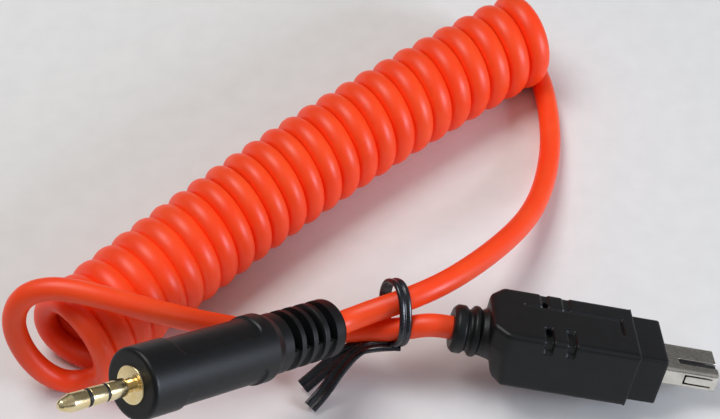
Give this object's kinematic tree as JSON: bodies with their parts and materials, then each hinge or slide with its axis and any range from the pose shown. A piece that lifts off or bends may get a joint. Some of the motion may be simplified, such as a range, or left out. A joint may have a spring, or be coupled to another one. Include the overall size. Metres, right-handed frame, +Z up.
{
  "type": "shutter release cord",
  "caption": "Coiled shutter release cord with a moulded three-contact jack plug on one end and a flat steel-shelled camera plug on the other, its tails held by a wire tie.",
  "frame": {"origin": "on the floor below the middle of the plugs and the wire tie taken together, without the free cord", "axes": "+X runs from the jack plug's side to the camera plug's side, +Y away from the viewer towards the coil's far end, +Z up; the cord lies on the floor at z = 0"},
  "size_m": [0.1054, 0.1006, 0.0367],
  "materials": {
    "gold_plate": "polished, pale gold plating",
    "insulator": "moulded, satin",
    "tinned_brass": "tinned",
    "inner_plastic": "moulded",
    "black_moulding": "soft satin moulding",
    "copper_wire": "bare copper strand",
    "cord_jacket": "smooth satin polyurethane, red-orange",
    "plated_steel": "nickel plated sheet",
    "tie_plastic": "smooth plastic ribbon",
    "tie_steel": "drawn wire"
  },
  "bodies": {
    "cord_and_plugs": {"jack_tip": "gold_plate", "jack_insulator_front": "insulator", "jack_ring": "gold_plate", "jack_insulator_rear": "insulator", "jack_sleeve": "gold_plate", "jack_solder_tags": "tinned_brass", "jack_pre_mould": "inner_plastic", "jack_overmould": "black_moulding", "jack_conductors": "copper_wire", "coil": "cord_jacket", "jack_tail": "cord_jacket", "camera_tail": "cord_jacket", "plug_shell": "plated_steel", "contact_block": "insulator", "contacts": "gold_plate", "connector_pre_mould": "inner_plastic", "connector_housing": "black_moulding", "connector_conductors": "copper_wire", "tie_loop": "tie_plastic", "tie_wire": "tie_steel"},
    "near_tongue": {"latch_near": "plated_steel"},
    "far_tongue": {"latch_far": "plated_steel"}
  },
  "joints": [
    {"name": "near_tongue_spring", "type": "hinge", "parent": "cord_and_plugs", "child": "near_tongue", "pos_m": [0.04426, 0.00599, 0.0049], "axis": [-0.2027, -0.3065, -0.93], "range_deg": [0, 4], "stiffness_Nm_per_rad": 0.02},
    {"name": "far_tongue_spring", "type": "hinge", "parent": "cord_and_plugs", "child": "far_tongue", "pos_m": [0.04426, 0.01193, 0.00295], "axis": [0.2027, 0.3065, 0.93], "range_deg": [0, 4], "stiffness_Nm_per_rad": 0.02}
  ]
}
